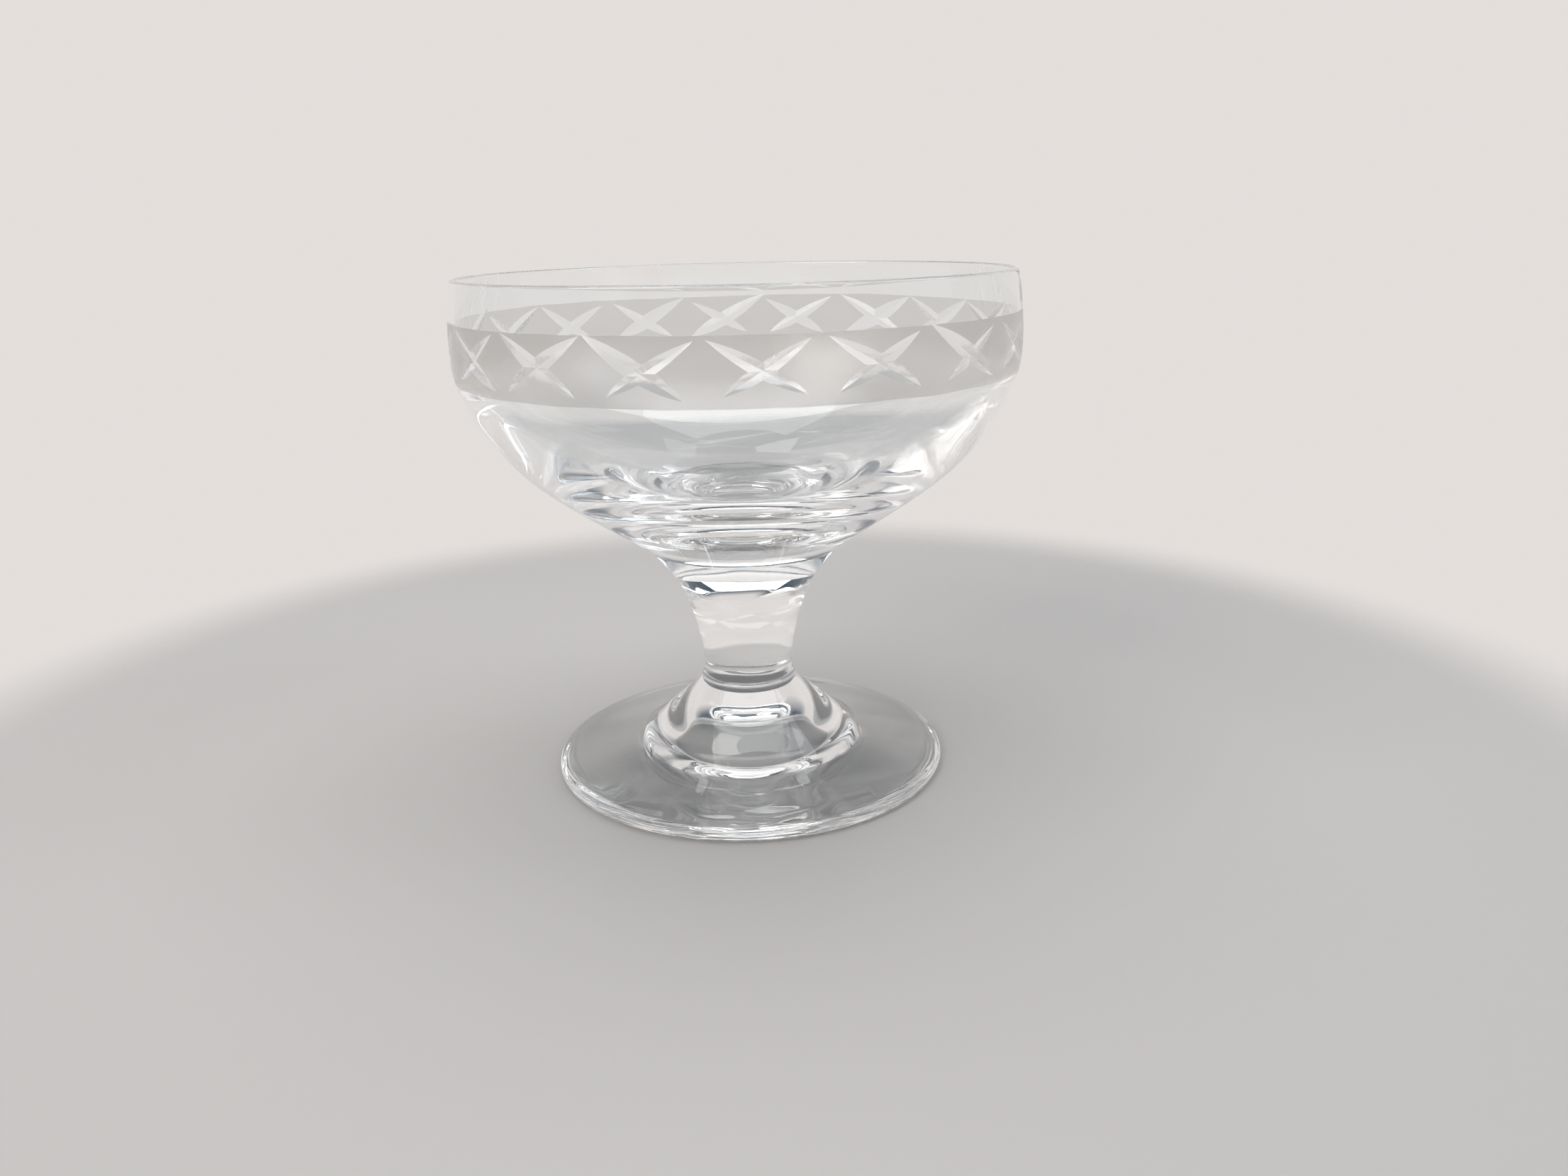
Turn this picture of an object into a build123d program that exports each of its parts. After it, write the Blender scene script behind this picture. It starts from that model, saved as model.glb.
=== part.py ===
from build123d import *

import os
from math import cos, radians, sin, tan

# A stemmed cocktail glass made the way a glassworks makes one, from three gathers of glass:
# a blown bowl, a solid stem drawn out below it, and a pressed-out foot with a low dome.
# The glass stands on z = 0, its axis is Z, and every size is in millimetres.

# Whole glass
overall_height = 87.5
foot_top_height = 16.6  # where the stem is fused to the collar of the foot
bowl_base_height = 40.5  # where the bowl is fused to the top of the stem

# Bowl, outside
rim_radius = 46.5
widest_radius = 47.5
widest_height = 76.0
shoulder_radius = 41.6  # outside radius at shoulder_height
shoulder_height = 60.0
flank_radius = 30.4  # outside radius at flank_height
flank_height = 50.0
flank_slope = (1.3, 1.0)  # direction in which the bowl leaves the stem

# Bowl, inside: a thin upper wall that thickens into a heavy floor
lip_thickness = 1.0
wall_thickness = 0.95  # at the widest height
inner_shoulder = (39.8, 61.7)
inner_flank = (27.8, 52.9)
cup_floor_height = 47.2

# Stem
stem_top_radius = 17.0
stem_waist_radius = 8.0
stem_neck = (9.4, 26.5)
stem_flare = (12.3, 34.2)
stem_top_slope = (0.85, 1.0)  # direction in which the stem meets the bowl

# Foot
foot_radius = 35.5
foot_edge_thickness = 1.0
foot_edge_lift = 0.4  # the edge stands clear of the table
resting_ring_radius = 34.2
resting_ring_width = 2.6
hollow_height = 8.2  # rise of the underside at the axis
hollow_crown = (9.5, 6.6)
hollow_flank = (13.2, 2.8)
hollow_brim = (17.0, 1.8)
hollow_end_slope = (1.0, -0.05)  # direction in which the hollow meets the resting ring
collar_height = 1.6
collar_radius = 8.5
collar_bulge = 0.25
dome_radius = 20.5
dome_height = 4.6  # height of the disc where the dome rises from it
dome_blend_radius = 6.0

# Wheel-cut crosses around the frosted band
cross_count = 18
cross_height = 76.4  # height at which the two strokes of a cross meet
first_cross_angle = 14.0  # from +X, so that one cross is just right of the middle seen from -Y
stroke_tilt = 30.0  # angle of a stroke to the horizontal, in degrees
stroke_depth = 0.38  # at the middle of the stroke
keel_radius = 84.0  # radius of the arc that the bottom of the groove follows
groove_half_angle = 75.0  # between the groove's middle plane and each of its facets
groove_reach = 1.0  # how far the cutter stands out beyond the bottom of the groove
groove_sweep = 16.0  # arc of the cutter, in degrees, more than the stroke is long

lip_radius = lip_thickness / 2
lip_start_height = overall_height - lip_radius
rim_inner_radius = rim_radius - lip_thickness
widest_inner_radius = widest_radius - wall_thickness
lip_point = (rim_radius, lip_start_height)
lip_crown = (rim_radius - lip_radius, overall_height)
lip_inner_point = (rim_inner_radius, lip_start_height)


# The cutter of one stroke: a V-shaped rib on the inside of an arc, in its own frame. The arc
# turns about Z and the middle of the stroke is on +X.
groove_half_width = groove_reach * tan(radians(groove_half_angle))
with BuildPart() as groove_cutter:
    with BuildSketch(Plane.XZ):
        with BuildLine():
            Polyline(
                (keel_radius, 0),
                (keel_radius + groove_reach, groove_half_width),
                (keel_radius + groove_reach, -groove_half_width),
                close=True,
            )
        make_face()
    revolve(axis=Axis.Z, revolution_arc=groove_sweep)


def stroke_location(cross_index, tilt):
    """Place of the cutter for one stroke of one cross, pressed into the wall of the bowl."""
    tilt_angle = radians(tilt)
    arc_centre = (widest_radius - stroke_depth - keel_radius, 0, cross_height)
    arc_axis = (0, -sin(tilt_angle), cos(tilt_angle))
    stroke_plane = Plane(origin=arc_centre, x_dir=(1, 0, 0), z_dir=arc_axis)
    cross_angle = first_cross_angle + cross_index * 360 / cross_count
    around_bowl = Location((0, 0, 0), (0, 0, cross_angle))
    half_sweep_back = Location((0, 0, 0), (0, 0, -groove_sweep / 2))
    return around_bowl * stroke_plane.location * half_sweep_back


# Bowl: blown, with a rounded lip, cut from outside with a ring of crosses
with BuildPart() as bowl:
    with BuildSketch(Plane.XZ):
        with BuildLine():
            Line((0, bowl_base_height), (stem_top_radius, bowl_base_height))
            Spline(
                (stem_top_radius, bowl_base_height),
                (flank_radius, flank_height),
                (shoulder_radius, shoulder_height),
                (widest_radius, widest_height),
                tangents=[flank_slope, (0, 1)],
            )
            TangentArc((widest_radius, widest_height), lip_point, tangent=(0, 1))
            ThreePointArc(lip_point, lip_crown, lip_inner_point)
            TangentArc((widest_inner_radius, widest_height), lip_inner_point, tangent=(0, 1))
            Spline(
                (widest_inner_radius, widest_height),
                inner_shoulder,
                inner_flank,
                (0, cup_floor_height),
                tangents=[(0, -1), (-1, 0)],
            )
            Line((0, cup_floor_height), (0, bowl_base_height))
        make_face()
    revolve(axis=Axis.Z)
    for cross_index in range(cross_count):
        for tilt in (stroke_tilt, -stroke_tilt):
            with Locations(stroke_location(cross_index, tilt)):
                add(groove_cutter.part, mode=Mode.SUBTRACT)

# Stem: solid, narrowest where it meets the foot and flared into the bottom of the bowl
with BuildPart() as stem:
    with BuildSketch(Plane.XZ):
        with BuildLine():
            Line((0, foot_top_height), (stem_waist_radius, foot_top_height))
            Spline(
                (stem_waist_radius, foot_top_height),
                stem_neck,
                stem_flare,
                (stem_top_radius, bowl_base_height),
                tangents=[(0, 1), stem_top_slope],
            )
            Line((stem_top_radius, bowl_base_height), (0, bowl_base_height))
            Line((0, bowl_base_height), (0, foot_top_height))
        make_face()
    revolve(axis=Axis.Z)

# Foot: a round disc with a low cone-shaped dome and a small rolled collar under the stem. Its
# underside has a bell-shaped hollow and its edge is lifted a little, so that it stands on a flat
# ring near the edge.
collar_base_height = foot_top_height - collar_height
collar_middle = (collar_radius + collar_bulge, foot_top_height - collar_height / 2)
ring_inner_radius = resting_ring_radius - resting_ring_width
edge_radius = foot_radius - foot_edge_thickness / 2
edge_base_point = (edge_radius, foot_edge_lift)
edge_tip_point = (foot_radius, foot_edge_lift + foot_edge_thickness / 2)
edge_top_point = (edge_radius, foot_edge_lift + foot_edge_thickness)
with BuildPart() as foot:
    with BuildSketch(Plane.XZ):
        with BuildLine() as foot_outline:
            Line((0, foot_top_height), (stem_waist_radius, foot_top_height))
            ThreePointArc(
                (stem_waist_radius, foot_top_height),
                collar_middle,
                (collar_radius, collar_base_height),
            )
            dome_flank = Line((collar_radius, collar_base_height), (dome_radius, dome_height))
            Line((dome_radius, dome_height), edge_top_point)
            ThreePointArc(edge_top_point, edge_tip_point, edge_base_point)
            Line(edge_base_point, (resting_ring_radius, 0))
            Line((resting_ring_radius, 0), (ring_inner_radius, 0))
            Spline(
                (0, hollow_height),
                hollow_crown,
                hollow_flank,
                hollow_brim,
                (ring_inner_radius, 0),
                tangents=[(1, 0), hollow_end_slope],
            )
            Line((0, hollow_height), (0, foot_top_height))
        make_face()
        fillet(foot_outline.vertices().sort_by_distance((dome_flank @ 1))[0], dome_blend_radius)
    revolve(axis=Axis.Z)

bowl.part.label = "bowl"
stem.part.label = "stem"
foot.part.label = "foot"

os.makedirs("parts", exist_ok=True)
export_step(bowl.part, "parts/bowl.step")
export_step(stem.part, "parts/stem.step")
export_step(foot.part, "parts/foot.step")
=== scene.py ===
from math import atan2, cos, hypot, pi, radians, sin, tan
from random import Random

import bmesh
import bpy
import numpy as np
from mathutils import Matrix, Vector, noise


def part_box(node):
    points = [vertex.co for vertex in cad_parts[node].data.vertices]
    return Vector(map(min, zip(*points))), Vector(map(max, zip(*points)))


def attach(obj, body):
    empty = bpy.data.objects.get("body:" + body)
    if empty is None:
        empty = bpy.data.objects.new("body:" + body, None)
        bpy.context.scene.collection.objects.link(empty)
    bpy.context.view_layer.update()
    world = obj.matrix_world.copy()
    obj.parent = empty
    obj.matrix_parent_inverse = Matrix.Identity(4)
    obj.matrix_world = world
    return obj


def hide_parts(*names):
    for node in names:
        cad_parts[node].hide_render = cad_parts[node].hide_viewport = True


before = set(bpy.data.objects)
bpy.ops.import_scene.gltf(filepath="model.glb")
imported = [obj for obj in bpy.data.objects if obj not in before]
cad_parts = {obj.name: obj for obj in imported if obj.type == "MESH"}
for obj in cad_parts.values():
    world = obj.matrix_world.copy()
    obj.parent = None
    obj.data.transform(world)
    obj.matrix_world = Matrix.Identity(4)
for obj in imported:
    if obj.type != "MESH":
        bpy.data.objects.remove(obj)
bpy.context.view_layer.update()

# A stemmed cocktail glass in three gathers: bowl, stem and foot. Sizes are in millimetres here and
# become metres when a mesh is made. The glass stands on z = 0 and its axis is Z.
MM = 0.001


def corners(node):
    """Lowest and highest corner of a CAD node, in millimetres."""
    low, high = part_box(node)
    return low / MM, high / MM


bowl_low, bowl_high = corners("bowl")
_, stem_high = corners("stem")
_, foot_high = corners("foot")

# Whole glass, from the CAD model
overall_height = bowl_high.z
bowl_base_height = bowl_low.z
foot_top_height = foot_high.z

# Bowl
rim_radius = 46.5
widest_radius = bowl_high.x
widest_height = 76.0
shoulder = (41.6, 60.0)
flank = (30.4, 50.0)
flank_slope = (1.3, 1.0)
lip_thickness = 1.0
wall_thickness = 0.95
inner_shoulder = (39.8, 61.7)
inner_flank = (27.8, 52.9)
cup_floor_height = 47.2

# Stem
stem_top_radius = stem_high.x
stem_waist_radius = 8.0
stem_neck = (9.4, 26.5)
stem_flare = (12.3, 34.2)
stem_top_slope = (0.85, 1.0)

# Foot
foot_radius = foot_high.x
foot_edge_thickness = 1.0
foot_edge_lift = 0.4  # the edge of the foot stands clear of the table
resting_ring_radius = 34.2
resting_ring_width = 2.6
hollow_points = ((0.0, 8.2), (9.5, 6.6), (13.2, 2.8), (17.0, 1.8))
hollow_end_slope = (1.0, -0.05)
collar_radius = 8.5
collar_height = 1.6
collar_start_slope = (0.35, 1.0)
dome_radius = 20.5
dome_height = 4.6
dome_blend_radius = 6.0

# Frosted band and the wheel-cut crosses in it
band_bottom = 71.4
band_top = 81.1
band_edge_wander = 0.12  # how far the masked edge of the frosting strays up and down
band_edge_waves = 8  # noise waves along the band for each radian
cross_count = 18
cross_height = 76.4
first_cross_angle = 14.0
stroke_tilt = 30.0
rising_depth = 0.35  # strokes that rise to the right, seen from outside
falling_depth = 0.43
keel_radius = 84.0
groove_half_angle = 75.0
groove_reach = 1.0
groove_sweep = 16.0

# Slips of the cutter's hand: up to this much either way, or anywhere in a range
angle_slip = 0.7  # degrees around the bowl
height_slip = 0.35
tilt_slip = 2.2  # degrees
depth_share = (0.78, 1.12)  # of the depth the stroke should have
half_angle_slip = (-1.5, 1.0)  # degrees

# Unevenness of hand-worked glass: how deep it is, and how far across its waves are
bowl_unevenness = (0.07, 26)
stem_unevenness = (0.16, 7)
foot_unevenness = (0.12, 9)

# Lengths over which the waves die away towards a joint or an edge
fade_above_foot = 3
fade_below_bowl = 4
fade_below_stem = 3
fade_at_foot_edge = 4

hand = Random(27)

# Tool dents below the bowl
dent_count = 9
dent_heights = (27, 34)
dent_depths = (0.08, 0.2)
dent_slants = (-0.5, 0.5)
dent_length = 2.6
dent_width = 0.7

segments = 320  # around the glass
weld_distance = 5e-7  # metres
joint_slot, frosting_slot, facet_slot = 1, 2, 3  # materials of a piece, after clear glass


# ---- Profile curves, as lists of (radius, height) ----


def spline(points, start, end, steps):
    """Smooth curve through points that leaves along start and arrives along end."""
    knots = np.array(points, float)
    spans = np.linalg.norm(np.diff(knots, axis=0), axis=1)
    last = len(knots) - 1
    matrix = np.eye(last + 1)
    sides = np.zeros((last + 1, 2))
    sides[0] = np.array(start) / np.linalg.norm(start)
    sides[last] = np.array(end) / np.linalg.norm(end)
    for i in range(1, last):
        before, after = spans[i - 1], spans[i]
        matrix[i, i - 1:i + 2] = after, 2 * (before + after), before
        step_in = after / before * (knots[i] - knots[i - 1])
        step_out = before / after * (knots[i + 1] - knots[i])
        sides[i] = 3 * (step_in + step_out)
    slopes = np.linalg.solve(matrix, sides)
    curve = []
    for i, span in enumerate(spans):
        count = max(4, round(steps * span / spans.sum()))
        for t in np.arange(count) / count:
            curve.append(
                (1 + 2 * t) * (1 - t) ** 2 * knots[i]
                + t * (1 - t) ** 2 * span * slopes[i]
                + t * t * (3 - 2 * t) * knots[i + 1]
                + t * t * (t - 1) * span * slopes[i + 1]
            )
    curve.append(knots[last])
    return [tuple(point) for point in curve]


def arc(start, end, slope, steps):
    """Arc that leaves start along slope and ends at end."""
    start, end, slope = (np.array(v, float) for v in (start, end, slope))
    slope /= np.linalg.norm(slope)
    left = np.array((-slope[1], slope[0]))
    chord = end - start
    radius = chord @ chord / (2 * chord @ left)  # positive when the arc turns left
    centre = start + radius * left
    first = atan2(start[1] - centre[1], start[0] - centre[0])
    turn = 2 * atan2(abs(chord @ left), chord @ slope) * (1 if radius > 0 else -1)
    angles = first + turn * np.arange(steps + 1) / steps
    return [(centre[0] + abs(radius) * cos(a), centre[1] + abs(radius) * sin(a)) for a in angles]


def rounded_corner(before, corner, after, radius, steps):
    """Arc that replaces the corner between two straight runs."""
    before, corner, after = (np.array(v, float) for v in (before, corner, after))
    back = (before - corner) / np.linalg.norm(before - corner)
    onward = (after - corner) / np.linalg.norm(after - corner)
    reach = radius * tan((pi - np.arccos(back @ onward)) / 2)
    return arc(corner + back * reach, corner + onward * reach, -back, steps)


def straight(start, end, steps):
    """Even points on a straight run."""
    start, end = np.array(start, float), np.array(end, float)
    return [tuple(start + (end - start) * i / steps) for i in range(steps + 1)]


def bowl_outside():
    lip_start = (rim_radius, overall_height - lip_thickness / 2)
    widest = (widest_radius, widest_height)
    knots = [(stem_top_radius, bowl_base_height), flank, shoulder, widest]
    upper_wall = arc(widest, lip_start, (0, 1), steps=28)
    return spline(knots, flank_slope, (0, 1), steps=64) + upper_wall[1:]


def bowl_inside():
    lip_end = (rim_radius - lip_thickness, overall_height - lip_thickness / 2)
    widest = (widest_radius - wall_thickness, widest_height)
    knots = [widest, inner_shoulder, inner_flank, (0, cup_floor_height)]
    upper_wall = arc(widest, lip_end, (0, 1), steps=20)[::-1]
    return upper_wall + spline(knots, (0, -1), (-1, 0), steps=90)[1:]


def bowl_outline():
    outside, inside = bowl_outside(), bowl_inside()
    lip = arc(outside[-1], inside[0], (0, 1), steps=22)
    return outside + lip[1:-1] + inside


def stem_outline():
    knots = [
        (stem_waist_radius, foot_top_height),
        stem_neck,
        stem_flare,
        (stem_top_radius, bowl_base_height),
    ]
    return spline(knots, (0, 1), stem_top_slope, steps=60)


def foot_outline():
    ring_inner = resting_ring_radius - resting_ring_width
    edge_radius = foot_radius - foot_edge_thickness / 2
    collar_base = (collar_radius, foot_top_height - collar_height)
    edge_base = (edge_radius, foot_edge_lift)
    edge_top = (edge_radius, foot_edge_lift + foot_edge_thickness)
    dome_edge = (dome_radius, dome_height)
    hollow = spline([*hollow_points, (ring_inner, 0)], (1, 0), hollow_end_slope, steps=60)
    underside = straight((resting_ring_radius, 0), edge_base, steps=3)[:-1]
    edge = arc(edge_base, edge_top, (1, 0), steps=12)
    blend = rounded_corner(edge_top, dome_edge, collar_base, dome_blend_radius, steps=14)
    top_run = straight(edge_top, blend[0], steps=14)[1:-1]
    flank_run = straight(blend[-1], collar_base, steps=16)[1:]
    collar_top = (stem_waist_radius, foot_top_height)
    collar = arc(collar_base, collar_top, collar_start_slope, steps=8)
    return hollow + underside + edge + top_run + blend + flank_run + collar[1:]


# ---- Meshes ----


def uneven(point, size, seed):
    """Smooth seeded unevenness from 0 to 1 at a point, with waves about size across."""
    spot = Vector(point) / size + Vector((seed * 7.3, seed * 3.1, seed * 5.7))
    return min(1, max(0, 0.5 + 0.7 * noise.noise(spot)))


def lathe(name, outline, sinking, lift=None):
    """Closed mesh turned from an outline that runs up the outside. sinking(x, y, z) is how far the
    surface lies inside the outline, and lift(angle, radius, height) is the radius and height that
    a point of a row gets instead of its own."""
    points = np.array(outline)
    slopes = np.gradient(points, axis=0)
    inward = np.stack((-slopes[:, 1], slopes[:, 0]), axis=1)
    inward /= np.linalg.norm(inward, axis=1)[:, None]
    mesh = bpy.data.meshes.new(name)
    shell = bmesh.new()
    rows = []
    for (radius, height), (across, up) in zip(points, inward):
        count = segments if radius > 1e-6 else 1
        row = []
        for i in range(count):
            angle = 2 * pi * i / segments
            if lift and count > 1:
                row_radius, row_height = lift(angle, radius, height)
            else:
                row_radius, row_height = radius, height
            x, y = row_radius * cos(angle), row_radius * sin(angle)
            sunk = sinking(x, y, row_height) if count > 1 else 0
            scale = (row_radius + across * sunk) / row_radius if count > 1 else 0
            x, y, z = x * scale, y * scale, row_height + up * sunk
            row.append(shell.verts.new((x * MM, y * MM, z * MM)))
        rows.append(row)
    for lower, upper in zip(rows, rows[1:]):
        for i in range(segments):
            j = (i + 1) % segments
            if len(lower) == 1:
                shell.faces.new((lower[0], upper[j], upper[i]))
            elif len(upper) == 1:
                shell.faces.new((lower[i], lower[j], upper[0]))
            else:
                shell.faces.new((lower[i], lower[j], upper[j], upper[i]))
    for face in shell.faces:
        face.smooth = True
    for row, flip in ((rows[0], True), (rows[-1], False)):
        if len(row) > 1:
            cap = shell.faces.new(row[::-1] if flip else row)
            cap.material_index = joint_slot
    shell.to_mesh(mesh)
    shell.free()
    piece = bpy.data.objects.new(name, mesh)
    bpy.context.scene.collection.objects.link(piece)
    return piece


def sharpen(piece, angle):
    """Creases where two faces meet at more than angle, in degrees, or where the finish changes."""
    shell = bmesh.new()
    shell.from_mesh(piece.data)
    for edge in shell.edges:
        finishes = {face.material_index for face in edge.link_faces}
        edge.smooth = len(finishes) == 1 and edge.calc_face_angle(0) < radians(angle)
    shell.to_mesh(piece.data)
    shell.free()


def groove_cutter(name, strokes):
    """One mesh of V-shaped ribs, each on the inside of an arc. strokes are (matrix, half angle)."""
    steps = 24
    shell = bmesh.new()
    for matrix, half_angle in strokes:
        half_width = groove_reach * tan(radians(half_angle))
        rings = []
        for i in range(steps + 1):
            angle = radians(groove_sweep) * (i / steps - 0.5)
            section = (
                (keel_radius, 0),
                (keel_radius + groove_reach, -half_width),
                (keel_radius + groove_reach, half_width),
            )
            rings.append([
                shell.verts.new(matrix @ Vector((r * cos(angle), r * sin(angle), z)) * MM)
                for r, z in section
            ])
        for ring, following in zip(rings, rings[1:]):
            for i in range(3):
                j = (i + 1) % 3
                shell.faces.new((ring[i], following[i], following[j], ring[j]))
        shell.faces.new(rings[0])
        shell.faces.new(rings[-1][::-1])
    bmesh.ops.recalc_face_normals(shell, faces=shell.faces)
    for face in shell.faces:
        face.smooth = True
        face.material_index = facet_slot
    mesh = bpy.data.meshes.new(name)
    shell.to_mesh(mesh)
    shell.free()
    cutter = bpy.data.objects.new(name, mesh)
    bpy.context.scene.collection.objects.link(cutter)
    return cutter


def stroke_matrix(cross_index, tilt, depth):
    """Place of one stroke's cutter, in millimetres, with the slips of a cutter's hand."""
    even_angle = first_cross_angle + cross_index * 360 / cross_count
    cross_angle = even_angle + hand.uniform(-angle_slip, angle_slip)
    height = cross_height + hand.uniform(-height_slip, height_slip)
    own_tilt = tilt + hand.uniform(-tilt_slip, tilt_slip)
    arc_centre = Vector((widest_radius - depth - keel_radius, 0, height))
    return (
        Matrix.Rotation(radians(cross_angle), 4, "Z")
        @ Matrix.Translation(arc_centre)
        @ Matrix.Rotation(radians(own_tilt), 4, "X")
    )


def cut_crosses(bowl):
    """Cuts the ring of crosses into the bowl, first the falling strokes and then the rising."""
    falling, rising = (-stroke_tilt, falling_depth), (stroke_tilt, rising_depth)
    for tilt, depth in (falling, rising):
        strokes = []
        for cross_index in range(cross_count):
            own_depth = depth * hand.uniform(*depth_share)
            matrix = stroke_matrix(cross_index, tilt, own_depth)
            strokes.append((matrix, groove_half_angle + hand.uniform(*half_angle_slip)))
        cutter = groove_cutter("cutter", strokes)
        for material in bowl.data.materials:
            cutter.data.materials.append(material)
        boolean = bowl.modifiers.new("cut", "BOOLEAN")
        boolean.operation = "DIFFERENCE"
        boolean.solver = "EXACT"
        boolean.object = cutter
        evaluated = bowl.evaluated_get(bpy.context.evaluated_depsgraph_get())
        cut_mesh = bpy.data.meshes.new_from_object(evaluated)
        bowl.modifiers.remove(boolean)
        bowl.data = cut_mesh
        bpy.data.objects.remove(cutter)


def weld(piece):
    """Joins points that lie closer than half a micron where cuts meet, and drops loose edges."""
    shell = bmesh.new()
    shell.from_mesh(piece.data)
    bmesh.ops.remove_doubles(shell, verts=shell.verts, dist=weld_distance)
    bmesh.ops.dissolve_degenerate(shell, edges=shell.edges, dist=weld_distance)
    loose = [edge for edge in shell.edges if not edge.link_faces]
    bmesh.ops.delete(shell, geom=loose, context="EDGES")
    shell.to_mesh(piece.data)
    shell.free()


# ---- Materials ----

glass_ior = 1.52


def new_material(name):
    """Empty node material, with its node tree and its output node."""
    material = bpy.data.materials.new(name)
    material.use_nodes = True
    tree = material.node_tree
    tree.nodes.clear()
    output = tree.nodes.new("ShaderNodeOutputMaterial")
    return material, tree, output


def noise_node(tree, scale, detail, roughness=0.5, stretch=(1, 1, 1)):
    """Noise in the glass's own coordinates, with scale in waves per metre."""
    place = tree.nodes.new("ShaderNodeTexCoord")
    mapping = tree.nodes.new("ShaderNodeMapping")
    mapping.inputs["Scale"].default_value = stretch
    texture = tree.nodes.new("ShaderNodeTexNoise")
    texture.inputs["Scale"].default_value = scale
    texture.inputs["Detail"].default_value = detail
    texture.inputs["Roughness"].default_value = roughness
    tree.links.new(place.outputs["Object"], mapping.inputs["Vector"])
    tree.links.new(mapping.outputs["Vector"], texture.inputs["Vector"])
    return texture.outputs["Fac"]


def spread(tree, value, source, target):
    """Maps value from the source range to the target range, clamped."""
    node = tree.nodes.new("ShaderNodeMapRange")
    node.inputs["From Min"].default_value, node.inputs["From Max"].default_value = source
    node.inputs["To Min"].default_value, node.inputs["To Max"].default_value = target
    tree.links.new(value, node.inputs["Value"])
    return node.outputs["Result"]


def bump(tree, height, distance, strength):
    """Tilts the surface by a height, with the full height's distance in metres."""
    node = tree.nodes.new("ShaderNodeBump")
    node.inputs["Distance"].default_value = distance
    node.inputs["Strength"].default_value = strength
    tree.links.new(height, node.inputs["Height"])
    return node.outputs["Normal"]


def glass_shader(tree, output, tint):
    """Clear glass of one tint, linked to the output."""
    shader = tree.nodes.new("ShaderNodeBsdfPrincipled")
    shader.inputs["Base Color"].default_value = (*tint, 1)
    shader.inputs["Transmission Weight"].default_value = 1
    shader.inputs["IOR"].default_value = glass_ior
    tree.links.new(shader.outputs["BSDF"], output.inputs["Surface"])
    return shader


def polished_glass(name, tint, smudge_scale, smudge, striae):
    """Fire-polished glass: clear, with faint smudges and the slow waves of hand work."""
    material, tree, output = new_material(name)
    shader = glass_shader(tree, output, tint)
    patches = noise_node(tree, scale=smudge_scale, detail=5, roughness=0.65)
    smudges = spread(tree, patches, source=(0.58, 0.78), target=(0, smudge))
    tree.links.new(smudges, shader.inputs["Roughness"])
    waves = noise_node(tree, scale=55, detail=1.5, stretch=(1, 1, 2.2))
    slow_waves = bump(tree, waves, distance=0.0004, strength=striae)
    tree.links.new(slow_waves, shader.inputs["Normal"])
    return material


def frosted_glass(name):
    """Acid-matted glass: an even grey veil with a very fine grain."""
    material, tree, output = new_material(name)
    shader = glass_shader(tree, output, (0.62, 0.605, 0.595))
    patches = noise_node(tree, scale=260, detail=4, roughness=0.6)
    cloud = spread(tree, patches, source=(0.3, 0.7), target=(0.2, 0.26))
    tree.links.new(cloud, shader.inputs["Roughness"])
    grain = noise_node(tree, scale=4200, detail=2, roughness=0.6)
    fine_bumps = bump(tree, grain, distance=0.00004, strength=0.5)
    tree.links.new(fine_bumps, shader.inputs["Normal"])
    return material


def cut_glass(name):
    """Facets of the wheel cuts, polished back to clear, with faint wheel marks."""
    material, tree, output = new_material(name)
    shader = glass_shader(tree, output, (0.99, 0.99, 0.99))
    patches = noise_node(tree, scale=900, detail=3, roughness=0.6)
    haze = spread(tree, patches, source=(0.3, 0.75), target=(0.04, 0.2))
    tree.links.new(haze, shader.inputs["Roughness"])
    marks = noise_node(tree, scale=1500, detail=2, stretch=(1, 1, 0.25))
    wheel_marks = bump(tree, marks, distance=0.00005, strength=0.35)
    tree.links.new(wheel_marks, shader.inputs["Normal"])
    return material


def fused_joint(name):
    """Where two gathers are fused there is no surface to see, so light passes straight through."""
    material, tree, output = new_material(name)
    clear = tree.nodes.new("ShaderNodeBsdfTransparent")
    tree.links.new(clear.outputs["BSDF"], output.inputs["Surface"])
    return material


# ---- The glass ----


def bowl_surface():
    """The outside of the bowl as heights and radii, to slide its rows along."""
    outside = np.array(bowl_outside())
    return outside[:, 1], outside[:, 0]


def make_bowl():
    heights, radii = bowl_surface()
    first = min(range(len(heights)), key=lambda i: abs(heights[i] - band_bottom))
    last = min(range(len(heights)), key=lambda i: abs(heights[i] - band_top))

    def slide(angle, radius, height):
        """Moves the two rows at the band's edges along the wall, to where the frosting ends."""
        for row, edge in ((first, band_bottom), (last, band_top)):
            if abs(height - heights[row]) < 1e-6 and abs(radius - radii[row]) < 1e-6:
                spot = Vector((band_edge_waves * cos(angle), band_edge_waves * sin(angle), row))
                wander = noise.noise(spot) + 0.4 * noise.noise(3 * spot)
                height = edge + band_edge_wander * wander
                return float(np.interp(height, heights, radii)), height
        return radius, height

    def blown(x, y, z):
        """Slow waves of the blown wall."""
        depth, size = bowl_unevenness
        return depth * uneven((x, y, z), size, 1)

    piece = lathe("bowl_glass", bowl_outline(), blown, slide)
    for polygon in piece.data.polygons:
        on_band = heights[first] < polygon.center.z / MM < heights[last]
        faces_out = polygon.normal.xy @ polygon.center.xy > 0
        if on_band and faces_out:
            polygon.material_index = frosting_slot
    for material in (bowl_clear, joint_clear, frosting, cut_facets):
        piece.data.materials.append(material)
    cut_crosses(piece)
    weld(piece)
    sharpen(piece, angle=22)
    return piece


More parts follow.
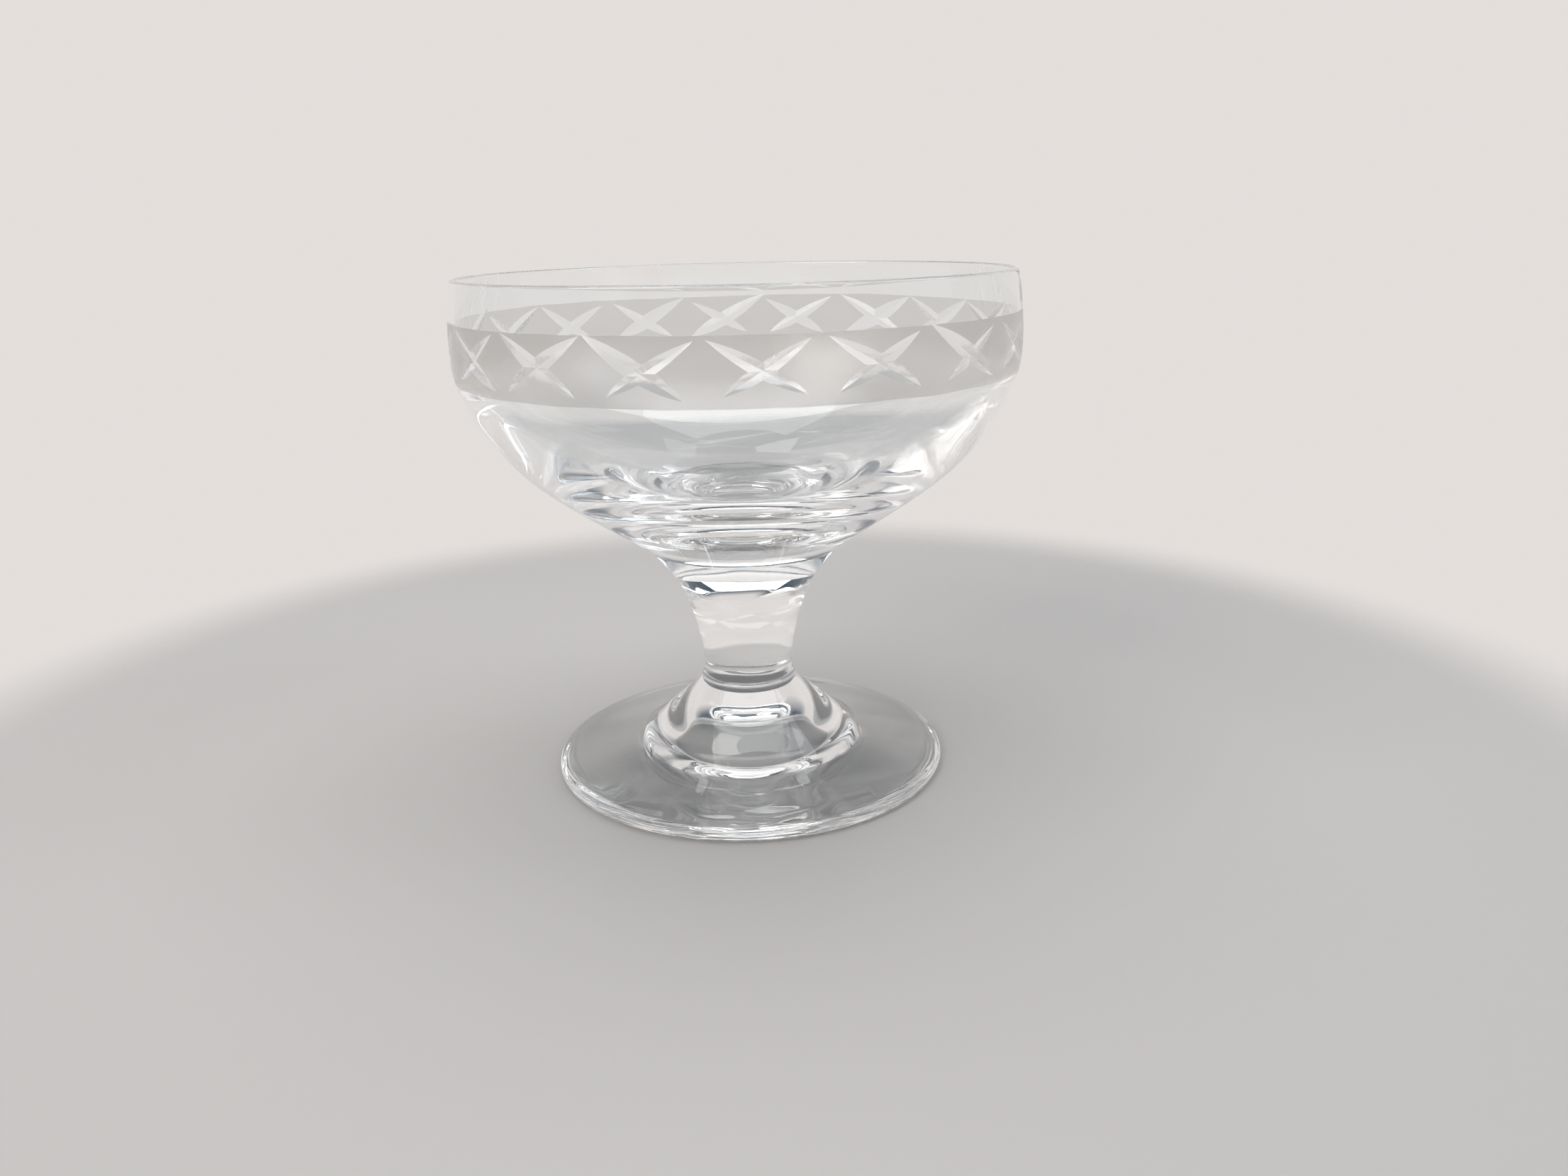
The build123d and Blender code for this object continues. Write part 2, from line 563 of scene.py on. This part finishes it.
def make_stem():
    dents = []
    for _ in range(dent_count):
        angle = hand.uniform(0, 2 * pi)
        height = hand.uniform(*dent_heights)
        depth = hand.uniform(*dent_depths)
        dents.append((angle, height, depth, hand.uniform(*dent_slants)))

    def worked(x, y, z):
        """Waves of the drawn stem and the dents that the tools left below the bowl."""
        waves, size = stem_unevenness
        sunk = waves * uneven((x, y, z), size, 2)
        for angle, height, depth, slant in dents:
            along = hypot(x, y) * ((atan2(y, x) - angle + pi) % (2 * pi) - pi)
            across = z - height - slant * along
            sunk += depth * np.exp(-(along / dent_length) ** 2 - (across / dent_width) ** 2)
        above_foot = (z - foot_top_height) / fade_above_foot
        below_bowl = (bowl_base_height - z) / fade_below_bowl
        return sunk * max(0, min(1, above_foot, below_bowl))

    piece = lathe("stem_glass", stem_outline(), worked)
    for material in (stem_clear, joint_clear):
        piece.data.materials.append(material)
    sharpen(piece, angle=40)
    return piece


def make_foot():
    def pressed(x, y, z):
        """Waves of the pressed-out disc, which fade towards its edge and the stem."""
        edge_fade = (foot_radius - hypot(x, y)) / fade_at_foot_edge
        top_fade = (foot_top_height - z) / fade_below_stem
        fade = min(1, max(0, edge_fade), max(0, top_fade))
        waves, size = foot_unevenness
        return waves * uneven((x, y, z), size, 3) * fade

    piece = lathe("foot_glass", foot_outline(), pressed)
    for material in (foot_clear, joint_clear):
        piece.data.materials.append(material)
    sharpen(piece, angle=30)
    return piece


bowl_clear = polished_glass(
    "bowl clear", (0.968, 0.984, 0.99), smudge_scale=60, smudge=0.03, striae=0.05
)
stem_clear = polished_glass(
    "stem clear", (0.98, 0.99, 0.992), smudge_scale=90, smudge=0.02, striae=0.05
)
foot_clear = polished_glass(
    "foot clear", (0.972, 0.985, 0.99), smudge_scale=75, smudge=0.14, striae=0.08
)
frosting = frosted_glass("frosting")
cut_facets = cut_glass("cut facets")
joint_clear = fused_joint("fused joint")

for make, node, slot in (
    (make_bowl, "bowl", "bowl_glass"),
    (make_stem, "stem", "stem_glass"),
    (make_foot, "foot", "foot_glass"),
):
    piece = make()
    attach(piece, "root")
    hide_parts(node)


# ---- Stage: a round pale floor that fades into a pale backdrop ----

floor_clear_radius = 0.145
floor_fade_radius = 0.185
floor_colour = (0.50, 0.487, 0.478)
pale_elevation = 24  # degrees above the horizon
dark_elevation = 37
backdrop_colour = (0.77, 0.735, 0.712)
upper_colour = (0.085, 0.11, 0.14)
zenith_colour = (0.06, 0.08, 0.105)


def make_floor():
    mesh = bpy.data.meshes.new("floor")
    shell = bmesh.new()
    bmesh.ops.create_circle(shell, cap_ends=True, segments=128, radius=floor_fade_radius)
    shell.to_mesh(mesh)
    shell.free()
    floor = bpy.data.objects.new("floor", mesh)
    bpy.context.scene.collection.objects.link(floor)
    material, tree, output = new_material("floor")
    paper = tree.nodes.new("ShaderNodeBsdfPrincipled")
    paper.inputs["Base Color"].default_value = (*floor_colour, 1)
    paper.inputs["Roughness"].default_value = 0.8
    paper.inputs["Specular IOR Level"].default_value = 0.2
    clear = tree.nodes.new("ShaderNodeBsdfTransparent")
    place = tree.nodes.new("ShaderNodeTexCoord")
    reach = tree.nodes.new("ShaderNodeVectorMath")
    reach.operation = "LENGTH"
    tree.links.new(place.outputs["Object"], reach.inputs[0])
    fade = tree.nodes.new("ShaderNodeMapRange")
    fade.interpolation_type = "SMOOTHSTEP"
    fade.inputs["From Min"].default_value = floor_clear_radius
    fade.inputs["From Max"].default_value = floor_fade_radius
    tree.links.new(reach.outputs["Value"], fade.inputs["Value"])
    mix = tree.nodes.new("ShaderNodeMixShader")
    tree.links.new(fade.outputs["Result"], mix.inputs["Fac"])
    tree.links.new(paper.outputs["BSDF"], mix.inputs[1])
    tree.links.new(clear.outputs["BSDF"], mix.inputs[2])
    tree.links.new(mix.outputs["Shader"], output.inputs["Surface"])
    floor.data.materials.append(material)


def make_backdrop():
    """Pale all round near the horizon and dark overhead, so that the glass has edges."""
    world = bpy.data.worlds.new("backdrop")
    bpy.context.scene.world = world
    world.use_nodes = True
    tree = world.node_tree
    place = tree.nodes.new("ShaderNodeTexCoord")
    split = tree.nodes.new("ShaderNodeSeparateXYZ")
    tree.links.new(place.outputs["Generated"], split.inputs["Vector"])
    ramp = tree.nodes.new("ShaderNodeValToRGB")
    stops = (
        (sin(radians(pale_elevation)), backdrop_colour),
        (sin(radians(dark_elevation)), upper_colour),
        (1.0, zenith_colour),
    )
    while len(ramp.color_ramp.elements) < len(stops):
        ramp.color_ramp.elements.new(0.5)
    for element, (position, colour) in zip(ramp.color_ramp.elements, stops):
        element.position = position
        element.color = (*colour, 1)
    tree.links.new(split.outputs["Z"], ramp.inputs["Fac"])
    tree.links.new(ramp.outputs["Color"], tree.nodes["Background"].inputs["Color"])


def softbox(name, place, size, power, colour):
    """Large soft lamp at a place in metres that faces the middle of the glass."""
    lamp = bpy.data.lights.new(name, "AREA")
    lamp.shape = "RECTANGLE"
    lamp.size, lamp.size_y = size
    lamp.energy = power
    lamp.color = colour
    holder = bpy.data.objects.new(name, lamp)
    bpy.context.scene.collection.objects.link(holder)
    target = Vector((0, 0, overall_height / 2 * MM))
    holder.location = place
    holder.rotation_euler = (target - Vector(place)).to_track_quat("-Z", "Y").to_euler()
    holder.visible_camera = False


make_floor()
make_backdrop()
softbox("key", (-0.50, -0.42, 0.62), size=(0.55, 0.50), power=3.4, colour=(1.0, 0.95, 0.90))
softbox("fill", (0.62, -0.10, 0.50), size=(0.30, 0.50), power=1.0, colour=(0.90, 0.95, 1.0))
softbox("top", (0.0, 0.12, 0.80), size=(0.80, 0.60), power=4.4, colour=(1.0, 1.0, 1.0))

# ---- Camera ----

camera_distance = 0.2012
camera_height = 0.0947
camera_yaw = 1.95  # to the right
camera_pitch = 17.37  # below the horizon
camera_roll = -1.25
sensor_width = 36.0
focal_length = 26.69

lens = bpy.data.cameras.new("camera")
lens.sensor_width = sensor_width
lens.lens = focal_length
lens.clip_start = 0.005
camera = bpy.data.objects.new("camera", lens)
bpy.context.scene.collection.objects.link(camera)
camera.matrix_world = (
    Matrix.Translation((0, -camera_distance, camera_height))
    @ Matrix.Rotation(radians(-camera_yaw), 4, "Z")
    @ Matrix.Rotation(radians(90 - camera_pitch), 4, "X")
    @ Matrix.Rotation(radians(camera_roll), 4, "Z")
)
bpy.context.scene.camera = camera

# Light passes through many glass surfaces before it reaches the floor or the backdrop.
light_paths = bpy.context.scene.cycles
bounces = 128
light_paths.max_bounces = bounces
light_paths.transmission_bounces = bounces
light_paths.glossy_bounces = bounces
light_paths.transparent_max_bounces = bounces
bpy.context.scene.view_settings.view_transform = "Standard"
